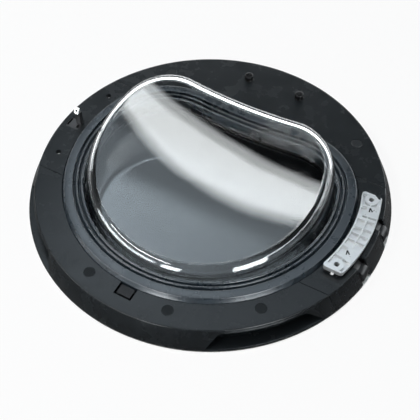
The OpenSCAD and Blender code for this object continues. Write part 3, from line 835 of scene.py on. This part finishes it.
@dataclass
class SoftCasting:
    """A copy of a CAD node with its sharp edges broken, as on a cast or moulded part.

    Attributes:
        node: the CAD node that it stands for.
        name: the new piece's name.
        width: width of the broken edge.
        sharp: angle in degrees past which an edge is broken.
    """

    node: str
    name: str
    width: float
    sharp: float = 35.0

    def build(self, nodes: dict[str, Piece]) -> Piece:
        """Copies the node, merges its loose triangles and bevels what is sharp.

        Args:
            nodes: the CAD nodes by name.

        Returns:
            The softened copy.
        """
        shell = Shell()
        shell.bm.from_mesh(nodes[self.node].data)
        bmesh.ops.remove_doubles(shell.bm, verts=shell.bm.verts, dist=WELD)
        bmesh.ops.dissolve_limit(shell.bm, angle_limit=math.radians(1.0), verts=shell.bm.verts,
                                 edges=shell.bm.edges, use_dissolve_boundaries=False, delimit=set())
        edges = [edge for edge in shell.bm.edges
                 if edge.is_manifold and edge.calc_face_angle(0.0) > math.radians(self.sharp)]
        bmesh.ops.bevel(shell.bm, geom=edges, offset=self.width, offset_type="OFFSET", segments=2, profile=0.5,
                        affect="EDGES", clamp_overlap=True, material=-1)
        made = shell.to_object(self.name, flat=True)
        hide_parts(self.node)
        return made


@dataclass
class HingeLeaf:
    """The moving half of the hinge: cast plate, black arm and the screws in its ends.

    Attributes:
        plate_edge: width of the plate's broken edges.
        arm_edge: width of the arm's broken edges.
        shade_chevron_places: where the tips of the plate's two painted-shade chevrons stand: thin black bars
            laid on the plate where it shows dark, shaded spots.
        shade_chevron_leg: length, width and thickness of a leg of a painted-shade chevron.
        shade_chevron_spread: angle between a leg and the chevron's middle line, in degrees.
        shade_chevron_turn: where the chevrons point, in degrees from Y.
        screw: the screw in each end.
    """

    plate_edge: float = 0.3 * MM
    arm_edge: float = 0.35 * MM
    shade_chevron_places: tuple[Pair, ...] = ((205 * MM, 42 * MM), (204.8 * MM, -31 * MM))
    shade_chevron_leg: tuple[float, float, float] = (6.6 * MM, 1.7 * MM, 0.3 * MM)
    shade_chevron_spread: float = 17.0
    shade_chevron_turn: float = 27.0
    screw: StarScrew = field(
        default_factory=lambda: StarScrew(2.1 * MM, 1.9 * MM, 1.2 * MM, 4.9 * MM, 1.0 * MM, 0.9 * MM))

    def build(self, nodes: dict[str, Piece], wardrobe: Wardrobe) -> None:
        """Makes and dresses the leaf's pieces.

        Args:
            nodes: the CAD nodes by name.
            wardrobe: the finishes.
        """
        for name, edge, slot in (("hinge_plate", self.plate_edge, Slot.HINGE_CAST),
                                 ("hinge_arm", self.arm_edge, Slot.HINGE_BLACK)):
            casting = SoftCasting(name, name + "_cast", edge)
            wardrobe.dress_piece(casting.build(nodes), slot, Body.LEAF)
        # painted shade: thin black chevrons on the plate stand in for dark, shaded spots
        wardrobe.dress_piece(self._painted_shade_chevrons(), Slot.HINGE_BLACK, Body.LEAF)
        wardrobe.dress_piece(self._end_screws(), Slot.SCREW_STEEL, Body.LEAF)

    def _painted_shade_chevrons(self) -> Piece:
        """Painted shade: two small black chevrons laid on the plate where it shows dark, shaded spots."""
        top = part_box("hinge_plate")[1][2]
        length, width, thick = self.shade_chevron_leg
        shell = Shell()
        for x, y in self.shade_chevron_places:
            for side in (1, -1):
                leg = bmesh.ops.create_cube(shell.bm, size=1.0)["verts"]
                turn = math.radians(self.shade_chevron_turn + side * self.shade_chevron_spread)
                bar = Matrix.Translation((0, -length / 2, 0)) @ Matrix.Diagonal((width, length, thick, 1))
                shell.turn(leg, Matrix.Translation((x, y, top)) @ Matrix.Rotation(turn, 4, "Z") @ bar)
        return shell.to_object("plate_painted_shade_chevrons")

    def _end_screws(self) -> Piece:
        """One screw in each end of the arm, under the plate."""
        low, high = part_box("hinge_end_screws")
        seat = high[1] - self.screw.height
        shell = Shell()
        for side in (1, -1):
            place = Matrix.Translation(((low[0] + high[0]) / 2, side * seat, (low[2] + high[2]) / 2))
            self.screw.add_to(shell, place @ Matrix.Rotation(math.radians(-90 * side), 4, "X"))
        made = shell.to_object("hinge_end_screws_fine")
        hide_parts("hinge_end_screws")
        return made


@dataclass(frozen=True)
class StopBuffer:
    """A rubber buffer: a stem in the cover's hole and a thick post with a soft, dimpled top.

    Attributes:
        post: radius of the post.
        foot: how far its foot reaches past the post, and the foot's height.
        rim: radius of the soft rim.
        dimple: radius and depth of the dimple.
        soft: width of its other soft edges.
        steps: points round it.
    """

    post: float = 6.2 * MM
    foot: Pair = (0.6 * MM, 1.0 * MM)
    rim: float = 2.2 * MM
    dimple: Pair = (2.0 * MM, 0.6 * MM)
    soft: float = 0.5 * MM
    steps: int = 48

    def build(self, node: str) -> Piece:
        """Turns the buffer's profile.

        Args:
            node: the CAD node that it stands for.

        Returns:
            The buffer.
        """
        low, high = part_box(node)
        stem, top = (high[0] - low[0]) / 2, high[2]
        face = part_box("stop_cover")[1][2]
        out, foot = self.foot
        hole, deep = self.dimple
        soft = self.soft
        profile = [(stem - soft, low[2]), (stem, low[2] + soft), (stem, face), (self.post + out, face),
                   (self.post + out, face + foot - soft), (self.post + out - soft, face + foot),
                   (self.post, face + foot + soft)]
        profile += arc((self.post - self.rim, top - self.rim), self.rim, 0, 90, 7)
        profile += [(hole, top - soft / 5), (hole * 0.8, top - deep), (hole * 0.2, top - deep)]
        shell = Shell()
        points = shell.loft([circle(reach, z, self.steps) for reach, z in profile])
        shell.turn(points, Matrix.Translation(((low[0] + high[0]) / 2, (low[1] + high[1]) / 2, 0)))
        made = shell.to_object(node + "_soft")
        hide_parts(node)
        return made


@dataclass
class DoorBody:
    """The door itself: the bowl, its seal, the latch and the screws that show.

    Attributes:
        plan: outlines of the bowl.
        latch_edge: width of the latch holder's broken edges.
        hook_edge: width of the hook's broken edges.
        cover_edge: width of the covers' broken edges.
        screw_place: X and Y of a side cover screw, mirrored to all four.
        screw: a side cover screw.
    """

    plan: BowlPlan = field(default_factory=BowlPlan)
    latch_edge: float = 0.3 * MM
    hook_edge: float = 0.25 * MM
    cover_edge: float = 0.5 * MM
    screw_place: Pair = (199.5 * MM, 61 * MM)
    screw: StarScrew = field(
        default_factory=lambda: StarScrew(3.2 * MM, 2.6 * MM, 2.0 * MM, 14.2 * MM, 1.45 * MM, 1.4 * MM))

    def build(self, nodes: dict[str, Piece], wardrobe: Wardrobe) -> None:
        """Makes and dresses the door's new pieces.

        Args:
            nodes: the CAD nodes by name.
            wardrobe: the finishes.
        """
        wardrobe.dress_piece(GlassBowl(self.plan).build(), Slot.CLEAR_GLASS, Body.DOOR)
        wardrobe.dress_piece(BowlSeal(self.plan).build(), Slot.SEAL_RUBBER, Body.DOOR)
        castings = [("latch_holder", "_moulded", self.latch_edge, Slot.LATCH_BLACK),
                    ("latch_hook", "_bent", self.hook_edge, Slot.LATCH_STEEL)]
        castings += [(name, "_moulded", self.cover_edge, Slot.COVER_BLACK)
                     for name in ("stop_cover", "grip_cover", "hinge_cover", "latch_cover")]
        for name, ending, edge, slot in castings:
            casting = SoftCasting(name, name + ending, edge)
            wardrobe.dress_piece(casting.build(nodes), slot, Body.DOOR)
        for name in ("stop_buffer_left", "stop_buffer_right"):
            wardrobe.dress_piece(StopBuffer().build(name), Slot.BUFFER_RUBBER, Body.DOOR)
        wardrobe.dress_piece(self._side_screws(), Slot.SCREW_STEEL, Body.DOOR)

    def _side_screws(self) -> Piece:
        """The four screws of the hinge and latch covers."""
        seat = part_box("side_cover_screws")[1][2] - self.screw.height
        shell = Shell()
        for x in (1, -1):
            for y in (1, -1):
                place = (x * self.screw_place[0], y * self.screw_place[1], seat)
                self.screw.add_to(shell, Matrix.Translation(place))
        made = shell.to_object("side_cover_screws_fine")
        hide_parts("side_cover_screws")
        return made


@dataclass(frozen=True)
class Softbox:
    """A rectangular lamp that faces the door.

    Attributes:
        name: the lamp's name.
        azimuth: where it stands round the door, in degrees from X.
        elevation: its height over the horizon, in degrees.
        distance: how far it is from the door.
        size: its width and height.
        radiance: its brightness, where a lit white card has 1.
    """

    name: str
    azimuth: float
    elevation: float
    distance: float
    size: Pair
    radiance: float

    def build(self) -> None:
        """Puts the lamp into the scene, hidden from the camera."""
        lamp = bpy.data.lights.new(self.name, "AREA")
        lamp.shape = "RECTANGLE"
        lamp.size, lamp.size_y = self.size
        lamp.energy = math.pi * self.radiance * self.size[0] * self.size[1]
        made = bpy.data.objects.new(self.name, lamp)
        a, e = math.radians(self.azimuth), math.radians(self.elevation)
        away = Vector((math.cos(a) * math.cos(e), math.sin(a) * math.cos(e), math.sin(e)))
        facing = away.to_track_quat("Z", "Y").to_matrix().to_4x4()
        made.matrix_world = Matrix.Translation(away * self.distance) @ facing
        made.visible_camera = False
        bpy.context.scene.collection.objects.link(made)


@dataclass
class LightScrim:
    """A sheet of white cloth lit from behind: a bright bent band, and a broad panel past it.

    The hollow crown mirrors the band many times enlarged, and the flat window mirrors the panel.

    Attributes:
        height: height over the table.
        span_x: its left and right edge.
        span_y: its front and back edge.
        band: brightness of the band.
        band_tint: its colour.
        band_front: the band's front edge as the Y and X of its top and its bend per metre.
        band_back: the same of its back edge.
        band_soft: width over which the front and the back edge fade.
        band_end: X between which its left end fades.
        base: brightness of the cloth past the band.
        base_rise: Y between which it grows.
        panel: brightness of the panel at its left and right end.
        panel_tint: colour of cloth and panel.
        panel_slant: X between which the panel's brightness changes.
        panel_left: X between which its left end fades.
        panel_rise: Y between which it starts.
        panel_fall: Y between which cloth and panel end.
    """

    height: float = 3.0
    span_x: Pair = (-2.2, 0.6)
    span_y: Pair = (0.45, 2.2)
    band: float = 8.7
    band_tint: Colour = (0.95, 0.99, 1.0)
    band_front: tuple[float, float, float] = (0.6155, -0.3, 0.0325)
    band_back: tuple[float, float, float] = (0.6705, -0.66, 0.088)
    band_soft: Pair = (0.009, 0.013)
    band_end: Pair = (-1.71, -1.59)
    base: float = 1.5
    base_rise: Pair = (0.61, 0.65)
    panel: Pair = (5.4, 2.2)
    panel_tint: Colour = (0.8, 0.92, 1.02)
    panel_slant: Pair = (-1.9, -0.4)
    panel_left: Pair = (-1.98, -1.74)
    panel_rise: Pair = (0.9, 1.1)
    panel_fall: Pair = (1.84, 2.05)

    def build(self) -> None:
        """Builds the sheet, unseen by the camera."""
        shell = Shell()
        bmesh.ops.create_grid(shell.bm, x_segments=2, y_segments=2, size=0.5)
        (x0, x1), (y0, y1) = self.span_x, self.span_y
        place = Matrix.Translation(((x0 + x1) / 2, (y0 + y1) / 2, self.height))
        shell.turn(list(shell.bm.verts), place @ Matrix.Diagonal((x1 - x0, y1 - y0, 1.0, 1.0)))
        sheet = shell.to_object("light_scrim")
        sheet.data.materials.append(self._cloth())
        sheet.visible_camera = False

    def _cloth(self) -> bpy.types.Material:
        """The sheet's glow as a function of place."""
        made = bpy.data.materials.new("scrim_cloth")
        made.use_nodes = True
        bench = NodeBench(made.node_tree)
        split = bench.add("SeparateXYZ")
        bench.link(bench.add("TexCoord").outputs["Object"], split.inputs[0])
        x, y = split.outputs["X"], split.outputs["Y"]
        past_front, past_back = (self._past(bench, x, y, edge) for edge in (self.band_front, self.band_back))
        front, back = self.band_soft
        band = bench.maths("MULTIPLY", bench.fade(past_front, (-front / 2, front / 2), 0.0, self.band),
                           bench.fade(past_back, (-back / 2, back / 2), 1.0, 0.0))
        band = bench.maths("MULTIPLY", band, bench.fade(x, self.band_end, 0.0, 1.0))
        panel = bench.maths("MULTIPLY", bench.fade(x, self.panel_slant, *self.panel),
                            bench.fade(y, self.panel_rise, 0.0, 1.0))
        cloth = bench.maths("MAXIMUM", bench.fade(y, self.base_rise, 0.0, self.base), panel)
        cloth = bench.maths("MULTIPLY", cloth, bench.fade(y, self.panel_fall, 1.0, 0.0))
        cloth = bench.maths("MULTIPLY", cloth, bench.fade(x, self.panel_left, 0.0, 1.0))
        shaders = []
        for tint, strength in ((self.band_tint, band), (self.panel_tint, cloth)):
            lit = bench.add("Emission", Color=(*tint, 1.0))
            bench.link(strength, lit.inputs["Strength"])
            shaders.append(lit)
        both = bench.add("AddShader")
        for number, lit in enumerate(shaders):
            bench.link(lit.outputs[0], both.inputs[number])
        bench.link(both.outputs[0], bench.add("OutputMaterial").inputs["Surface"])
        return made

    @staticmethod
    def _past(bench: NodeBench, x: Socket, y: Socket, edge: tuple[float, float, float]) -> Socket:
        """How far a place lies past a bent edge, along Y."""
        top, middle, bend = edge
        offset = bench.maths("SUBTRACT", x, middle)
        drop = bench.maths("MULTIPLY", bench.maths("MULTIPLY", offset, offset), bend)
        return bench.maths("ADD", bench.maths("SUBTRACT", y, top), drop)


@dataclass(frozen=True)
class TentBay:
    """A bright bay in the light tent that glossy surfaces see.

    Attributes:
        azimuth: direction of its middle, in degrees from X.
        half: half its width, in degrees.
        low: elevation of its lower edge, in degrees.
        high: elevation of its upper edge.
        radiance: its brightness.
        edge: softness of its edges, in degrees.
    """

    azimuth: float
    half: float
    low: float
    high: float
    radiance: float
    edge: float = 1.5

    def light(self, bench: NodeBench, heading: Socket, rise: Socket) -> Socket:
        """Adds the bay's nodes.

        Args:
            bench: the world's nodes.
            heading: level unit vector of the direction looked in.
            rise: sine of its elevation.

        Returns:
            The bay's brightness in that direction.
        """
        a = math.radians(self.azimuth)
        dot = bench.add("VectorMath")
        dot.operation = "DOT_PRODUCT"
        bench.link(heading, dot.inputs[0])
        dot.inputs[1].default_value = (math.cos(a), math.sin(a), 0.0)
        across = tuple(math.cos(math.radians(self.half + way * self.edge)) for way in (1, -1))
        low, high = (tuple(math.sin(math.radians(angle + way * self.edge)) for way in (-1, 1))
                     for angle in (self.low, self.high))
        lit = bench.maths("MULTIPLY", bench.fade(dot.outputs["Value"], across, 0.0, self.radiance),
                          bench.fade(rise, low, 0.0, 1.0))
        return bench.maths("MULTIPLY", lit, bench.fade(rise, high, 1.0, 0.0))


@dataclass
class Studio:
    """White table and surroundings, soft lamps and the camera.

    Attributes:
        eye: the camera's place.
        elevation: its height over the horizon as seen from the door, in degrees.
        azimuth: its turn about Z, in degrees. 0 looks along +Y.
        roll: its turn about its own axis, in degrees.
        lens: focal length in millimetres on a 36 mm sensor.
        floor: side of the table.
        table_white: the table's own whiteness.
        ambient: light of the surroundings on matt surfaces.
        tint: colour of the surroundings' light.
        horizon: brightness of the surroundings in glossy surfaces, at the horizon.
        zenith: the same straight above.
        dome: sine of the elevations between which it changes.
        bays: bright bays in what glossy surfaces see.
        glow: share of plain white in the table as the camera and glossy surfaces see it.
        mirrored: brightness of the table's near and far part in glossy surfaces.
        far_edge: how far past the door, along the view, the far part starts and is full.
    """

    eye: tuple[float, float, float] = (314.96 * MM, -567.84 * MM, 804.66 * MM)
    elevation: float = 52.494
    azimuth: float = 29.06
    roll: float = -0.168
    lens: float = 66.0
    floor: float = 14.0
    table_white: float = 0.9
    ambient: float = 0.3
    tint: Colour = (0.92, 0.97, 1.0)
    horizon: float = 0.35
    zenith: float = 0.12
    dome: Pair = (0.25, 0.8)
    bays: tuple[TentBay, ...] = (
        TentBay(-131.0, 27.0, 12.0, 27.0, 14.0), TentBay(-91.5, 6.5, 0.0, 32.0, 24.0),
        TentBay(-35.5, 11.5, 5.0, 42.0, 24.0), TentBay(16.0, 40.0, 40.0, 46.0, 10.0),
        TentBay(90.0, 40.0, -6.0, 30.0, 5.0), TentBay(155.0, 25.0, 14.0, 28.0, 6.0),
        TentBay(35.0, 15.0, 20.0, 36.0, 6.0))
    glow: float = 0.9
    mirrored: Pair = (0.12, 3.0)
    far_edge: Pair = (0.28, 0.36)
    lamps: tuple[Softbox, ...] = (Softbox("fill_box", -128.0, 54.0, 2.0, (1.3, 0.16), 27.0),)

    def build(self) -> None:
        """Builds table, surroundings, lamps and camera."""
        self._table()
        self._surroundings()
        for lamp in self.lamps:
            lamp.build()
        LightScrim().build()
        self._camera()
        LOG.info("studio: %d lamps", len(self.lamps))

    @staticmethod
    def _seen_directly(bench: NodeBench) -> Socket:
        """A mask that is 1 for what the camera, a reflection or a look through glass sees."""
        path = bench.add("LightPath")
        mask = bench.maths("MAXIMUM", path.outputs["Is Camera Ray"], path.outputs["Is Glossy Ray"])
        return bench.maths("MAXIMUM", mask, path.outputs["Is Transmission Ray"])

    def _table(self) -> None:
        """The white table that the door lies on."""
        shell = Shell()
        bmesh.ops.create_grid(shell.bm, x_segments=2, y_segments=2, size=self.floor / 2)
        table = shell.to_object("table")
        made = bpy.data.materials.new("table_white")
        made.use_nodes = True
        bench = NodeBench(made.node_tree)
        matt = bench.add("BsdfDiffuse", Color=(self.table_white,) * 3 + (1.0,))
        ahead = bench.add("VectorMath")
        ahead.operation = "DOT_PRODUCT"
        bench.link(bench.add("TexCoord").outputs["Object"], ahead.inputs[0])
        a = math.radians(self.azimuth)
        ahead.inputs[1].default_value = (-math.sin(a), math.cos(a), 0.0)
        seen = bench.fade(ahead.outputs["Value"], self.far_edge, self.mirrored[0] - 1, self.mirrored[1] - 1)
        glow = bench.add("Emission", Color=(1.0, 1.0, 1.0, 1.0))
        glossy = bench.maths("MULTIPLY", bench.add("LightPath").outputs["Is Glossy Ray"], seen)
        bench.link(bench.maths("ADD", glossy, 1.0), glow.inputs["Strength"])
        share = bench.maths("MULTIPLY", self._seen_directly(bench), self.glow)
        mix = bench.tree.nodes.new("ShaderNodeMixShader")
        bench.link(share, mix.inputs[0])
        bench.link(matt.outputs[0], mix.inputs[1])
        bench.link(glow.outputs[0], mix.inputs[2])
        bench.link(mix.outputs[0], bench.add("OutputMaterial").inputs["Surface"])
        table.data.materials.append(made)

    def _surroundings(self) -> None:
        """White for the camera, even light for matt surfaces and a light tent for glossy ones."""
        world = bpy.data.worlds.new("white_room")
        bpy.context.scene.world = world
        world.use_nodes = True
        bench = NodeBench(world.node_tree)
        path = bench.add("LightPath")
        bent = bench.maths("MAXIMUM", path.outputs["Is Glossy Ray"], path.outputs["Is Transmission Ray"])
        tent = bench.maths("MULTIPLY", bent, bench.maths("SUBTRACT", self._tent(bench), self.ambient))
        room = bench.add("Background", Color=(*self.tint, 1.0))
        bench.link(bench.maths("ADD", tent, self.ambient), room.inputs["Strength"])
        backdrop = bench.add("Background", Color=(1.0, 1.0, 1.0, 1.0), Strength=1.0)
        pick = bench.add("MixShader")
        bench.link(path.outputs["Is Camera Ray"], pick.inputs[0])
        bench.link(room.outputs[0], pick.inputs[1])
        bench.link(backdrop.outputs[0], pick.inputs[2])
        output = bench.tree.nodes.new("ShaderNodeOutputWorld")
        bench.link(pick.outputs[0], output.inputs["Surface"])

    def _tent(self, bench: NodeBench) -> Socket:
        """Brightness of a light tent by direction: dimmer towards its top, with bright bays."""
        split = bench.add("SeparateXYZ")
        bench.link(bench.add("TexCoord").outputs["Generated"], split.inputs[0])
        level = bench.add("CombineXYZ")
        bench.link(split.outputs["X"], level.inputs["X"])
        bench.link(split.outputs["Y"], level.inputs["Y"])
        heading = bench.add("VectorMath")
        heading.operation = "NORMALIZE"
        bench.link(level.outputs[0], heading.inputs[0])
        total = bench.fade(split.outputs["Z"], self.dome, self.horizon, self.zenith)
        for bay in self.bays:
            total = bench.maths("ADD", total, bay.light(bench, heading.outputs["Vector"], split.outputs["Z"]))
        return total

    def _camera(self) -> None:
        """The camera at the photograph's viewpoint."""
        e, a, r = (math.radians(angle) for angle in (self.elevation, self.azimuth, self.roll))
        back = Vector((math.sin(a) * math.cos(e), -math.cos(a) * math.cos(e), math.sin(e)))
        level = Vector((0, 0, 1)).cross(back).normalized()
        rise = back.cross(level)
        right = level * math.cos(r) + rise * math.sin(r)
        up = rise * math.cos(r) - level * math.sin(r)
        lens = bpy.data.cameras.new("viewpoint")
        lens.lens = self.lens
        lens.sensor_width = 36.0
        lens.clip_start, lens.clip_end = 0.01, 50.0
        camera = bpy.data.objects.new("viewpoint", lens)
        camera.matrix_world = Matrix.Translation(self.eye) @ Matrix((right, up, back)).transposed().to_4x4()
        bpy.context.scene.collection.objects.link(camera)
        bpy.context.scene.camera = camera
        bpy.context.scene.view_settings.view_transform = "Standard"


def main() -> None:
    """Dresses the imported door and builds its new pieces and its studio."""
    logging.basicConfig(level=logging.INFO, format="%(name)s: %(message)s")
    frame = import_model()
    wardrobe = Wardrobe()
    for row in frame["record"]["subparts"]:
        wardrobe.dress_node(frame["nodes"][row["node"]], Slot(row["material_slot"]))
    DoorBody().build(frame["nodes"], wardrobe)
    HingeLeaf().build(frame["nodes"], wardrobe)
    Studio().build()


if __name__ == "__main__":
    main()
